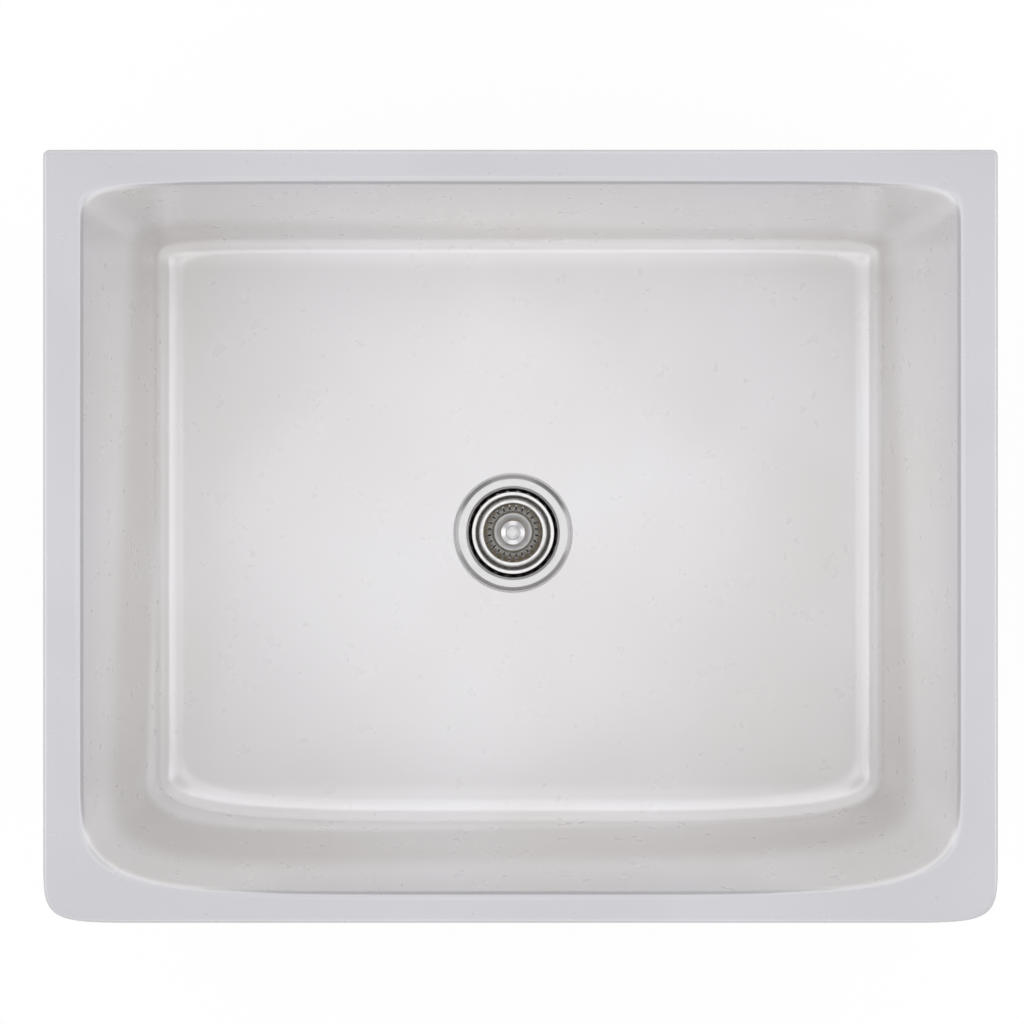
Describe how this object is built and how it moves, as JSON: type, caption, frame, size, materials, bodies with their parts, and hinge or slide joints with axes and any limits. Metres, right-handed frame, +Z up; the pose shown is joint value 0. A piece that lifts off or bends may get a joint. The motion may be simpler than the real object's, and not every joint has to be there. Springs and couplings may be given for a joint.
{
  "type": "kitchen sink",
  "caption": "Farmhouse kitchen sink with an apron front, a deep bowl dished to its outlet, and a lift-out basket strainer over its waste.",
  "frame": {"origin": "middle of the basin's underside plane, half way between its sides and between apron and back", "axes": "+X to the right as seen from the apron, +Y from the apron to the back, +Z up"},
  "size_m": [0.762, 0.617, 0.406],
  "materials": {
    "glaze": "gloss white glaze, bare clay under the foot",
    "steel": "polished stainless steel",
    "cast_metal": "dull die-cast metal",
    "brass": "turned",
    "rubber": "matte black",
    "fibre": "pressed fibre",
    "white_plastic": "moulded"
  },
  "bodies": {
    "sink": {"basin": "glaze", "flange_seal": "rubber", "strainer_body": "steel", "strainer_spider": "steel", "underside_gasket": "rubber", "friction_ring": "fibre", "locknut": "cast_metal", "tailpiece_washer": "white_plastic", "tailpiece": "steel", "coupling_nut": "steel"},
    "basket": {"basket_cup": "steel", "basket_bush": "brass", "basket_seal": "rubber", "seal_retainer": "steel", "bush_nut": "brass"},
    "knob_post": {"basket_post": "steel", "post_clip": "steel", "post_grip_ring": "rubber", "knob": "steel", "knob_cap": "steel"}
  },
  "joints": [
    {"name": "basket_lift", "type": "slide", "parent": "sink", "child": "basket", "axis": [0, 0, 1], "range_m": [0, 0.31]},
    {"name": "post_turn", "type": "hinge", "parent": "basket", "child": "knob_post", "pos_m": [-0.0058, -0.0033, 0], "axis": [0, 0, 1], "continuous": true}
  ]
}
